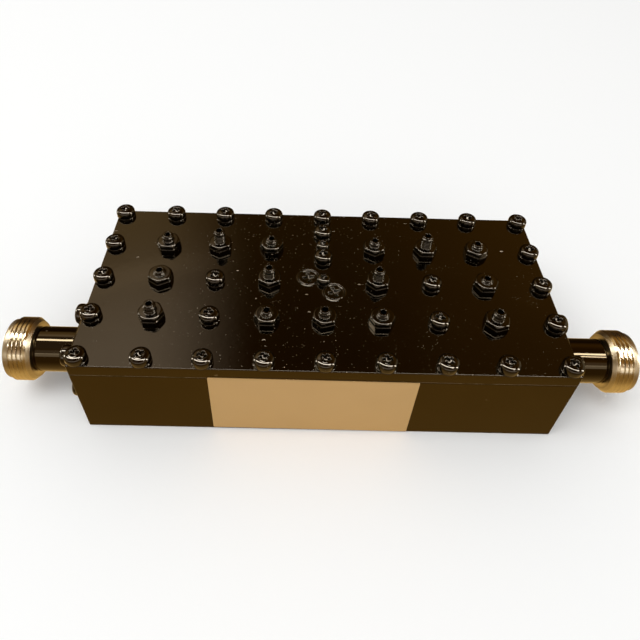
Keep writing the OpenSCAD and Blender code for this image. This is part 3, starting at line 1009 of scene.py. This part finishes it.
class ThreadCutter(Shaper):
    """Tree of a straight outside thread: a grid rolled round the axis, with a helical groove."""

    RINGS_PER_TURN = 24
    GROOVE_HALF = 0.44
    GROOVE_SLOPE = 0.38

    def __init__(self) -> None:
        """Build the tree."""
        kinds = dict.fromkeys(("Radius", "Depth", "Pitch", "Length", "Runout", "Drop"), "Float")
        kinds |= {"Segments": "Int", "Rings": "Int", "Finish": "Material"}
        super().__init__("rolled_thread", kinds)
        radius, depth, pitch, length, runout, drop, segments, rings, finish = self.values
        net = self.net
        inputs = {"Size X": 1.0, "Size Y": 1.0, "Vertices X": segments + 1, "Vertices Y": rings}
        grid = net.add("GeometryNodeMeshGrid", inputs=inputs)
        across, along, _ = net.split(net.add("GeometryNodeInputPosition"))
        angle = (across + 0.5) * TAU
        height = (along + 0.5) * length
        phase = (height / pitch - angle / TAU).math("FRACT")
        ridge = phase.off(0.5) * 2.0
        groove = ((self.GROOVE_HALF - ridge) / self.GROOVE_SLOPE).most(0.0).least(1.0)
        fade_in = (height / runout).least(1.0)
        fade_out = ((length - height) / runout).least(1.0)
        reach = radius - (depth * groove * fade_in).most(drop * (1 - fade_out))
        spot = net.join(reach * angle.math("COSINE"), reach * angle.math("SINE"), height)
        rolled = net.add("GeometryNodeSetPosition", inputs={"Geometry": grid, "Position": spot})
        closed = net.add("GeometryNodeMergeByDistance", inputs={"Geometry": rolled, "Distance": 1e-6})
        self.close(closed, finish)

    def cut(self, finish: Finish, segments: int, **sizes: float) -> bpy.types.Object:
        """Cut one thread that stands on the origin.

        Args:
            finish: Its finish.
            segments: Points round the axis.
            sizes: Radius over the crests, depth of the groove, pitch, length of the thread, runout over
                which it fades at either end, and drop to the lead at its upper end.

        Returns:
            The thread, open at both ends.
        """
        piece = Bench.link("thread", bpy.data.meshes.new("thread"))
        rings = round(sizes["Length"] / sizes["Pitch"] * self.RINGS_PER_TURN) + 1
        self.run(piece, Segments=segments, Rings=rings, Finish=finish.material(), **sizes)
        return piece


@dataclass(frozen=True)
class CrownedScrew:
    """Screw with a domed head, a cross recess half filled with paint and a plain shank.

    Fullness is the dome's exponent. The other shares count from the head's radius, apart from the side,
    sunken, cone and lip, which count from its height.
    """

    head_r: float
    head_h: float
    shank_r: float
    shank_len: float
    fullness: float = 3.6
    reach: float = 0.43
    sunken: float = 0.26
    side: float = 0.32
    arm: float = 0.14
    soft: float = 0.05
    cone_r: float = 0.3
    cone: float = 0.2
    lip_r: float = 0.48
    lip: float = 0.014
    flat_r: float = 0.7
    foot: tuple[Pair, ...] = ((0.998, 0.24), (0.985, 0.13), (0.965, 0.05), (0.975, 0.015), (1.0, 0.0))
    segments: int = 72

    def crown(self, radius: float) -> float:
        """Height of the bare dome.

        Args:
            radius: Distance from the axis.

        Returns:
            The height.
        """
        side = self.side * self.head_h
        share = min(1.0, radius / self.head_r)
        return side + (self.head_h - side) * (1 - share**self.fullness) ** (1 / self.fullness)

    def recess(self, radius: float, angles: np.ndarray) -> np.ndarray:
        """Depth of the softened cross recess.

        Args:
            radius: Distance from the axis.
            angles: Angles round the axis.

        Returns:
            The depth at each angle.
        """
        share = radius / self.head_r
        x, y = np.abs(share * np.cos(angles)), np.abs(share * np.sin(angles))
        arms = [self.inside(self.arm - a) * self.inside(self.reach - b) for a, b in ((x, y), (y, x))]
        cross = 1 - (1 - arms[0]) * (1 - arms[1])
        cone = self.cone * math.exp(-((share / self.cone_r) ** 2))
        lip = self.lip * math.exp(-(((share - self.lip_r) / self.soft) ** 2))
        return self.head_h * (cross * (self.sunken + cone) - lip)

    def inside(self, depth: np.ndarray) -> np.ndarray:
        """Smooth step over a soft edge, from 0 outside to 1 inside."""
        share = np.clip(depth / (2 * self.soft) + 0.5, 0, 1)
        return share * share * (3 - 2 * share)

    def form(self) -> bpy.types.Object:
        """Make the screw.

        Returns:
            The screw, with its head standing on the origin.
        """
        angles = Bench.angles(self.segments)
        steps = np.linspace(0, self.flat_r * self.head_r, 22)
        rings: list[Ring] = [(r, self.crown(r) - self.recess(r, angles)) for r in steps]
        turns = np.linspace(math.asin(self.flat_r), math.pi / 2, 18)[1:]
        rings += [(r, self.crown(r)) for r in self.head_r * np.sin(turns)]
        rings += [(out * self.head_r, up * self.head_h) for out, up in self.foot]
        rings += [(self.shank_r, 0.0), (self.shank_r, -self.shank_len), (0.0, -self.shank_len)]
        return Bench.loft("crowned_form", rings, self.segments)


@dataclass(frozen=True)
class CountersunkScrew:
    """Flush screw whose edge and recess are rounded by the paint.

    Flat_r and edge are where its flat top ends and where the paint over its edge starts and ends, and
    humps the height in millimetres of each swelling of that paint, with its middle and half width.
    These places are shares of the head's radius.
    """

    head_r: float = 2.75 * MM
    recess_h: float = 1.6 * MM
    shank_r: float = 1.5 * MM
    length: float = 8.5 * MM
    sunk: float = 0.05 * MM
    lowered: float = 0.04 * MM
    under: float = 0.2 * MM
    flat_r: float = 0.76
    edge: Pair = (0.79, 1.13)
    humps: tuple[tuple[float, float, float], ...] = (
        (0.09, 0.89, 0.08),
        (-0.07, 0.975, 0.04),
        (0.05, 1.06, 0.07),
    )
    segments: int = 72

    def form(self) -> bpy.types.Object:
        """Make the screw.

        Returns:
            The screw, with the lid's face at the origin.
        """
        angles = Bench.angles(self.segments)
        cross = CrownedScrew(self.head_r, self.recess_h, self.shank_r, 0.0, reach=0.56, sunken=0.32)
        steps = np.linspace(0, self.flat_r * self.head_r, 26)
        rings: list[Ring] = [(r, -self.sunk - cross.recess(r, angles)) for r in steps]
        for share in np.linspace(*self.edge, 27):
            low = self.lowered if share < 1.0 else 0.0
            rings.append((share * self.head_r, self.swell(share) - low))
        rings += [
            (self.head_r, -self.under),
            (self.shank_r, self.shank_r - self.head_r - self.sunk),
            (self.shank_r, -self.length),
            (0.0, -self.length),
        ]
        return Bench.loft("countersunk_form", rings, self.segments)

    def swell(self, share: float) -> float:
        """Height of the paint over the head's edge.

        Args:
            share: Distance from the axis, as a share of the head's radius.

        Returns:
            The height.
        """
        waves = [
            height * math.cos(math.pi / 2 * min(1.0, abs(share - middle) / half)) ** 2
            for height, middle, half in self.humps
        ]
        return sum(waves) * MM


@dataclass(frozen=True)
class LockingNut:
    """Hexagon nut with a rounded top, whose paint also fills its gaps to the screw and to the lid.

    Skirt is how far the belt stands out and how far it lies below its own height, in millimetres.
    """

    flats: float = 5.6 * MM
    height: float = 2.4 * MM
    crown: float = 0.85 * MM
    bore_r: float = 1.47 * MM
    fillet: float = 0.2 * MM
    belt: float = 1.1 * MM
    skirt: tuple[Pair, ...] = ((0.0, 0.0), (0.03, 0.03), (0.06, 0.06), (0.08, 0.14), (0.09, 0.3), (0.09, 1.1))
    hardness: float = 34.0
    rounding: float = 26.0
    segments: int = 96

    def form(self) -> bpy.types.Object:
        """Make the nut.

        Returns:
            The nut, standing on the origin with a flat facing X.
        """
        hexagon = Bench.polygon_radius(Bench.angles(self.segments), self.flats / 2, 6, self.hardness)
        corner = self.flats / math.sqrt(3)
        rings: list[Ring] = [
            (self.bore_r + self.fillet * down, self.height + self.fillet * out)
            for out, down in Bench.quarter(9)
        ]
        for out, down in Bench.quarter(17):
            cone = corner - self.crown * out
            outline = (hexagon**-self.rounding + cone**-self.rounding) ** (-1 / self.rounding)
            rings.append((outline, self.height - self.crown * down))
        rings += [(hexagon + out * MM, self.belt - down * MM) for out, down in self.skirt]
        rings.append((self.bore_r, 0.0))
        return Bench.loft("nut_form", rings, self.segments, loop=True)


@dataclass(frozen=True)
class TuningScrew:
    """Headless screw with a hexagon socket in a narrow rim, its thread drowned in paint below that.

    Key is the socket's profile, as its share of the key's outline and its depth. Edge is the profile of
    the rim and the neck below it, as the distance outside the rim's radius and the depth. Depths and
    distances in both are in millimetres.
    """

    radius: float = 1.5 * MM
    rim: float = 1.2 * MM
    length: float = 12.0 * MM
    socket_flats: float = 1.4 * MM
    hardness: float = 40.0
    pitch: float = 0.5 * MM
    groove: float = 0.12 * MM
    thread_from: float = 0.9 * MM
    fade_from: float = 0.8 * MM
    fade: float = 0.5 * MM
    shown: float = 4.9 * MM
    thread_end: float = 0.2 * MM
    point: float = 0.3 * MM
    rings_per_turn: int = 8
    segments: int = 48
    key: tuple[Pair, ...] = (
        (0.0, 2.1),
        (0.9, 2.0),
        (0.99, 1.2),
        (1.0, 0.2),
        (1.02, 0.07),
        (1.08, 0.01),
        (1.14, 0.0),
    )
    edge: tuple[Pair, ...] = (
        (-0.05, 0.01),
        (0.01, 0.04),
        (0.06, 0.12),
        (0.07, 0.22),
        (0.03, 0.34),
        (-0.01, 0.43),
        (0.02, 0.50),
        (0.13, 0.545),
        (0.24, 0.60),
        (0.32, 0.70),
        (0.33, 0.82),
    )

    def form(self) -> bpy.types.Object:
        """Make the screw.

        Returns:
            The screw, with its top at the origin.
        """
        angles = Bench.angles(self.segments)
        outline = Bench.polygon_radius(angles, self.socket_flats / 2, 6, self.hardness)
        rings: list[Ring] = [(share * outline, -down * MM) for share, down in self.key]
        rings += [(self.rim + out * MM, -down * MM) for out, down in self.edge]
        depth = self.thread_from
        while depth < self.shown:
            fade = min(1.0, (depth - self.fade_from) / self.fade)
            wave = (1 - np.cos(angles - TAU * depth / self.pitch)) / 2
            rings.append((self.radius - self.groove * wave * fade, -depth))
            depth += self.pitch / self.rings_per_turn
        rings += [
            (self.radius, -self.shown - self.thread_end),
            (self.radius, -self.length + self.point),
            (self.radius - self.point, -self.length),
            (0.0, -self.length),
        ]
        return Bench.loft("tuning_form", rings, self.segments)


@dataclass(frozen=True)
class Body:
    """Milled housing and lid, painted as one."""

    def build(self) -> None:
        """Dress the housing and the lid."""
        housing = Bench.softened_copy("housing_block", "housing")
        Bench.settle(housing, BLACK_WALL, "housing")
        lid = Bench.softened_copy("lid_plate", "lid")
        for finish in (BLACK_GLOSS, BLACK_WALL):
            lid.data.materials.append(finish.material())
        for face in lid.data.polygons:
            face.material_index = 0 if face.normal.z > 0.5 else 1
        Bench.settle(lid, BLACK_GLOSS, "lid")


@dataclass(frozen=True)
class Label:
    """Bare film on the front face, across the seam, put on by hand at a slight slope in degrees."""

    left: float = -26.8 * MM
    width: float = 48.4 * MM
    bottom: float = 0.75 * MM
    height: float = 21.5 * MM
    thickness: float = 0.2 * MM
    slope: float = 0.4
    corner: float = 0.35 * MM
    corner_steps: int = 4
    soft: float = 0.06 * MM

    def build(self) -> None:
        """Make the film as a closed sheet with rounded corners and a soft outer edge."""
        soft, face = self.soft, self.thickness
        rims = ((0.0, 0.0), (0.0, face - soft), (0.3 * soft, face - 0.3 * soft), (soft, face))
        work = bmesh.new()
        loops = [[work.verts.new(point) for point in self.outline(inset, out)] for inset, out in rims]
        for lower, upper in zip(loops, loops[1:]):
            for i in range(len(lower)):
                j = (i + 1) % len(lower)
                work.faces.new((lower[i], lower[j], upper[j], upper[i]))
        work.faces.new(loops[-1])
        work.faces.new(list(reversed(loops[0])))
        bmesh.ops.recalc_face_normals(work, faces=work.faces)
        mesh = bpy.data.meshes.new("bare_label")
        work.to_mesh(mesh)
        work.free()
        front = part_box("housing")[0].y
        slope = Matrix.Rotation(math.radians(self.slope), 4, "Y")
        mesh.transform(Matrix.Translation((self.left, front, self.bottom)) @ slope)
        label = Bench.link("bare_label", mesh)
        Bench.soften(label, weighted=True)
        Bench.settle(label, FILM, "label")

    def outline(self, inset: float, out: float) -> list[tuple[float, float, float]]:
        """Points round the film.

        Args:
            inset: Distance inside the film's edge.
            out: Distance in front of the face that it sticks to.

        Returns:
            The points, with X and Z measured from the film's lower left corner.
        """
        corners = ((1, 0, -90), (1, 1, 0), (0, 1, 90), (0, 0, 180))
        reach = self.corner - inset
        points = []
        for side, top, start in corners:
            x = self.width - self.corner if side else self.corner
            z = self.height - self.corner if top else self.corner
            for step in range(self.corner_steps + 1):
                angle = math.radians(start + step * 90 / self.corner_steps)
                points.append((x + reach * math.cos(angle), -out, z + reach * math.sin(angle)))
        return points


@dataclass(frozen=True)
class LockedRow:
    """Locked screws of one kind with their nuts.

    Rises are how far the screws stand above their nuts, in millimetres, and turns are how far each nut
    is turned, in degrees.
    """

    kind: str
    cells: Cells
    rises: tuple[float, ...]
    turns: tuple[float, ...]


TUNERS = LockedRow(
    "tuning",
    cells=((-3, -1), (-3, 1), (-1, 1), (-1, -1), (1, -1), (1, 1), (3, 1), (3, -1)),
    rises=(2.4, 1.9, 1.4, 1.1, 1.3, 1.6, 1.3, 2.4),
    turns=(30, 30, 30, 30, 30, 60, 60, 47),
)
COUPLERS = LockedRow(
    "coupling",
    cells=((-3, 0), (-2, 1), (-1, 0), (0, -1), (1, 0), (2, 1), (3, 0)),
    rises=(1.1, 3.8, 2.9, 1.8, 3.2, 3.7, 0.9),
    turns=(57, 60, 60, 47, 47, 30, 30),
)


@dataclass(frozen=True)
class LidHardware:
    """Every screw and nut that stands on the lid.

    Lid_turn and locked_turn are the turn in degrees from one copy to the next, small_turns that of each
    small screw, and flush_spots the place and turn of each flush screw.
    """

    layout: Layout
    repeater: Repeater
    lid_screw: CrownedScrew = CrownedScrew(2.5 * MM, 2.3 * MM, 1.25 * MM, 8.0 * MM)
    lid_turn: float = 37.0
    small_screw: CrownedScrew = CrownedScrew(1.8 * MM, 1.8 * MM, 1.0 * MM, 6.0 * MM)
    small_turns: Pair = (20.0, 70.0)
    flush_spots: tuple[tuple[float, float, float], ...] = (
        (-3.85 * MM, 1.85 * MM, 12.0),
        (2.65 * MM, -3.0 * MM, 22.0),
    )
    locked_turn: float = 47.0

    def build(self) -> None:
        """Make all groups."""
        top = self.layout.lid_top
        form = self.lid_screw.form()
        for seed, (node, places) in enumerate(self.layout.lid_screw_groups().items()):
            spots = [Spot(x, y, top, (self.lid_turn * i) % 90) for i, (x, y) in enumerate(places)]
            self.group(f"crowned_{node}", form, spots, node, spread=0.015, seed=seed)
        bpy.data.objects.remove(form)
        small = zip(self.layout.small_places, self.small_turns)
        spots = [Spot(x, y, top, turn) for (x, y), turn in small]
        self.lone_group("crowned_small_screws", self.small_screw, spots, "small_screws")
        spots = [Spot(x, y, top, turn) for x, y, turn in self.flush_spots]
        self.lone_group("flush_screws", CountersunkScrew(), spots, "countersunk_screws")
        for row in (TUNERS, COUPLERS):
            self.locked(row, top)

    def locked(self, row: LockedRow, top: float) -> None:
        """Make the locked screws of one kind and their nuts.

        Args:
            row: The screws.
            top: Height of the lid's upper face.
        """
        nut, screw = LockingNut(), TuningScrew().form()
        places = [self.layout.cell(*cell) for cell in row.cells]
        spots = [Spot(x, y, top, turn) for (x, y), turn in zip(places, row.turns)]
        self.lone_group(f"{row.kind}_nut_set", nut, spots, f"{row.kind}_nuts", spread=0.01)
        for n, ((x, y), rise) in enumerate(zip(places, row.rises), start=1):
            spot = Spot(x, y, top + nut.height + rise * MM, self.locked_turn * n)
            self.group(f"{row.kind}_element_{n}", screw, [spot], f"{row.kind}_screw_{n}")
        bpy.data.objects.remove(screw)

    def lone_group(
        self, name: str, piece: Any, spots: Sequence[Spot], node: str, spread: float = 0.0
    ) -> None:
        """Set one group of a form that no other group uses.

        Args:
            name: The group's name.
            piece: Screw or nut whose form is repeated.
            spots: Where the copies stand.
            node: The frame's node that the group stands for.
            spread: Largest change of size between copies, as a share.
        """
        form = piece.form()
        self.group(name, form, spots, node, spread)
        bpy.data.objects.remove(form)

    def group(
        self,
        name: str,
        form: bpy.types.Object,
        spots: Sequence[Spot],
        node: str,
        spread: float = 0.0,
        seed: int = 7,
    ) -> None:
        """Set one group on the lid.

        Args:
            name: The piece's name.
            form: Form of one copy.
            spots: Where the copies stand.
            node: The frame's node that the piece stands for.
            spread: Largest change of size between copies, as a share.
            seed: Seed of that change.
        """
        spots = self.layout.set_back(spots)
        piece = self.repeater.scatter(name, form, spots, BLACK_GLOSS, spread, seed)
        Bench.soften(piece, 60.0)
        Bench.settle(piece, BLACK_GLOSS, node)


@dataclass(frozen=True)
class Socket:
    """Threaded coaxial socket on its flange, painted up to the bright threaded ring."""

    side: Side
    repeater: Repeater
    cutter: ThreadCutter
    length: float = 20.1 * MM
    wall: float = 4.0 * MM
    flange: float = 17.5 * MM
    flange_t: float = 2.5 * MM
    flange_pitch: float = 12.7 * MM
    flange_soft: float = 0.35 * MM
    flange_hardness: float = 17.0
    flange_bevel: float = 0.15 * MM
    flange_screw: CrownedScrew = CrownedScrew(2.7 * MM, 2.4 * MM, 1.5 * MM, 5.9 * MM)
    flange_turn: float = 29.0
    barrel_r: float = 5.65 * MM
    neck_soft: float = 0.45 * MM
    neck_gap: float = 0.25 * MM
    neck_land: float = 0.1 * MM
    tube_r: float = 4.9 * MM
    pilot_r: float = 3.95 * MM
    tail_r: float = 2.35 * MM
    thread_r: float = 7.94 * MM
    lead_r: float = 7.35 * MM
    lead_len: float = 1.2 * MM
    lead_soft: float = 0.3 * MM
    ring_len: float = 6.6 * MM
    ring_seat: float = 0.5 * MM
    pitch: float = 1.058 * MM
    groove: float = 0.24 * MM
    runout: float = 0.45 * MM
    chamfer: Pair = (1.0 * MM, 1.3 * MM)
    mouth_r: float = 4.3 * MM
    mouth_d: float = 5.0 * MM
    mouth_bevel: float = 0.35 * MM
    seat_r: float = 4.04 * MM
    seat_d: float = 9.2 * MM
    line_r: float = 3.5 * MM
    bead_z: float = 3.9 * MM
    segments: int = 128

    @property
    def place(self) -> Matrix:
        """Socket's own frame: Z runs outwards from the wall, along the socket's axis."""
        low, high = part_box(f"{self.side.word}_socket_contact")
        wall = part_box("housing")[1].x * self.side.value
        middle = Vector((wall, (low.y + high.y) / 2, (low.z + high.z) / 2))
        return Matrix.Translation(middle) @ Matrix.Rotation(self.side.value * math.pi / 2, 4, "Y")

    @property
    def ring_z(self) -> float:
        """Place along the axis at which the bright ring starts."""
        return self.length - self.ring_len

    def build(self) -> None:
        """Make the sleeve, the ring, the flange screws and the inside of one socket."""
        word = self.side.word
        shell = f"{word}_socket_shell"
        self.finish_piece(self.sleeve(f"{word}_painted_sleeve"), BLACK_TURNED, shell)
        self.finish_piece(self.ring(f"{word}_threaded_ring"), NICKEL, shell, crease=30.0)
        screw = self.flange_screw.form()
        half = self.flange_pitch / 2
        corners = [(sx * half, sy * half) for sx in (-1, 1) for sy in (-1, 1)]
        spots = [Spot(x, y, self.flange_t, self.flange_turn * i) for i, (x, y) in enumerate(corners)]
        screws = self.repeater.scatter(f"{word}_crowned_flange_screws", screw, spots, BLACK_GLOSS, 0.01)
        bpy.data.objects.remove(screw)
        self.finish_piece(screws, BLACK_GLOSS, f"{word}_flange_screws")
        for node, finish in ((f"{word}_socket_insulator", WHITE), (f"{word}_socket_contact", BRASS)):
            Bench.settle(Bench.softened_copy(f"smooth_{node}", node, 40.0), finish, node)

    def finish_piece(
        self, piece: bpy.types.Object, finish: Finish, node: str, crease: float = 60.0
    ) -> None:
        """Move a piece from the socket's frame to its place, and finish it.

        Args:
            piece: The piece.
            finish: Its finish.
            node: The frame's node that it stands for.
            crease: Angle in degrees past which an edge stays sharp.
        """
        piece.data.transform(self.place)
        Bench.soften(piece, crease)
        Bench.settle(piece, finish, node)

    def sleeve(self, name: str) -> bpy.types.Object:
        """Make the painted part: barrel, square flange with soft edges, and pilot in the wall.

        Args:
            name: The piece's name.

        Returns:
            The piece, in the socket's frame.
        """
        angles = Bench.angles(self.segments)
        square = Bench.polygon_radius(angles, self.flange / 2, 4, self.flange_hardness)
        soft, neck = self.flange_soft, self.ring_z - self.neck_gap
        rings: list[Ring] = [(self.tube_r, self.ring_z), (self.barrel_r - self.ring_seat, self.ring_z)]
        for out, down in Bench.quarter(6):
            rings.append((self.barrel_r - self.neck_soft * out, neck - self.neck_soft * down))
        land = neck - self.neck_soft - self.neck_land
        rings += [(self.barrel_r, z) for z in np.linspace(land, self.flange_t + soft, 5)]
        for out, down in Bench.quarter(6)[1:]:
            rings.append((self.barrel_r + soft * down, self.flange_t + soft * out))
        inner = self.barrel_r + soft
        for share in (0.25, 0.5, 0.75):
            rings.append((inner + share * (square - soft - inner), self.flange_t))
        for out, down in Bench.quarter(6):
            rings.append((square - soft * out, self.flange_t - soft * down))
        rings += [
            (square, self.flange_bevel),
            (square - self.flange_bevel, 0.0),
            (self.pilot_r, 0.0),
            (self.pilot_r, -self.wall),
            (self.tail_r, -self.wall),
            (self.tail_r, self.bead_z),
            (self.tube_r, self.bead_z),
        ]
        return Bench.loft(name, rings, self.segments, loop=True)

    def ring(self, name: str) -> bpy.types.Object:
        """Make the bright part: threaded ring, smooth lead, mouth and the bore behind it.

        Args:
            name: The piece's name.

        Returns:
            The piece, in the socket's frame.
        """
        soft, (inward, rise) = self.lead_soft, self.chamfer
        lead_z, thread_z = self.length - self.lead_len, self.ring_z + rise
        seat_z, mouth_z = self.length - self.seat_d, self.length - self.mouth_d
        face: list[Ring] = [
            (self.mouth_r + self.mouth_bevel, self.length),
            (self.lead_r - soft, self.length),
            (self.lead_r - 0.3 * soft, self.length - 0.3 * soft),
            (self.lead_r, self.length - soft),
            (self.lead_r, lead_z),
        ]
        back: list[Ring] = [
            (self.thread_r, thread_z),
            (self.thread_r - inward, self.ring_z),
            (self.barrel_r - self.ring_seat, self.ring_z),
            (self.tube_r, self.ring_z),
            (self.tube_r, self.bead_z),
            (self.line_r, self.bead_z),
            (self.line_r, seat_z),
            (self.seat_r, seat_z),
            (self.seat_r, mouth_z),
            (self.mouth_r, mouth_z),
            (self.mouth_r, self.length - self.mouth_bevel),
        ]
        piece = Bench.loft(name, face + back, self.segments, loop=True, gap=len(face) - 1)
        thread = self.cutter.cut(
            NICKEL,
            self.segments,
            Radius=self.thread_r,
            Depth=self.groove,
            Pitch=self.pitch,
            Length=lead_z - thread_z,
            Runout=self.runout,
            Drop=self.thread_r - self.lead_r,
        )
        thread.data.transform(Matrix.Translation((0, 0, thread_z)))
        Bench.merge(piece, thread)
        return piece


@dataclass(frozen=True)
class Inside:
    """Pieces that the lid hides, which keep the frame's own meshes."""

    resonators: int = 8

    def build(self) -> None:
        """Give every hidden piece its finish."""
        finishes = {f"resonator_{n + 1}": SILVER for n in range(self.resonators)}
        finishes |= {"resonator_screws": STEEL, "coupling_rod": BRASS, "rod_insulator": WHITE}
        finishes |= {f"{side.word}_tap_rod": BRASS for side in Side}
        for node, finish in finishes.items():
            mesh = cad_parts[node].data
            mesh.materials.clear()
            mesh.materials.append(finish.material())
            LOG.info("%s: carried over", node)


def main() -> None:
    """Build the studio, then the object from its body outwards."""
    logging.basicConfig(level=logging.INFO, format="%(message)s")
    repeater, cutter = Repeater(), ThreadCutter()
    parts: Sequence[Any] = (
        Studio(),
        Body(),
        Label(),
        LidHardware(Layout(), repeater),
        Socket(Side.LEFT, repeater, cutter),
        Socket(Side.RIGHT, repeater, cutter),
        Inside(),
    )
    for part in parts:
        part.build()
        LOG.info("%s done", type(part).__name__)


if __name__ == "__main__":
    main()
